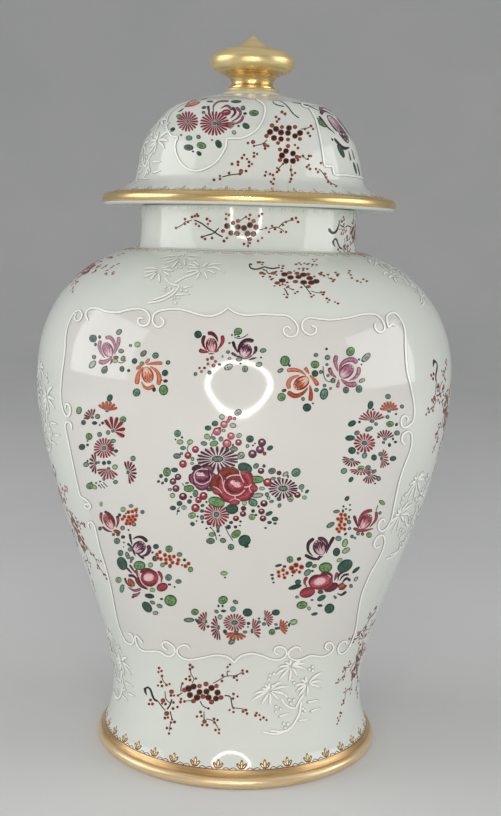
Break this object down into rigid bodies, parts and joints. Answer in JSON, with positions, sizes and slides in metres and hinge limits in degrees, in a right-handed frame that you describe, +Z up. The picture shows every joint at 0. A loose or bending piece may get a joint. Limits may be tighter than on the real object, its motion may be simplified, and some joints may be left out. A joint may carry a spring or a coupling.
{
  "type": "potiche",
  "caption": "Tall baluster jar of glazed porcelain on a rolled foot, with a domed cover that lifts off by its turned knop.",
  "frame": {"origin": "centre of the foot, on the plane that the jar stands on", "axes": "+Z up the turning axis from the foot to the knop, -Y towards the front panel"},
  "size_m": [0.274, 0.274, 0.4703],
  "materials": {
    "porcelain": "glossy pale grey-white glaze with raised white slip and overglaze enamels",
    "gilding": "burnished gold fired over glazed porcelain"
  },
  "bodies": {
    "jar": {"jar": "porcelain"},
    "cover": {"cover": "porcelain", "knop": "gilding"}
  },
  "joints": [
    {"name": "cover_lift", "type": "slide", "parent": "jar", "child": "cover", "axis": [0, 0, 1], "range_m": [0, 0.15]}
  ]
}
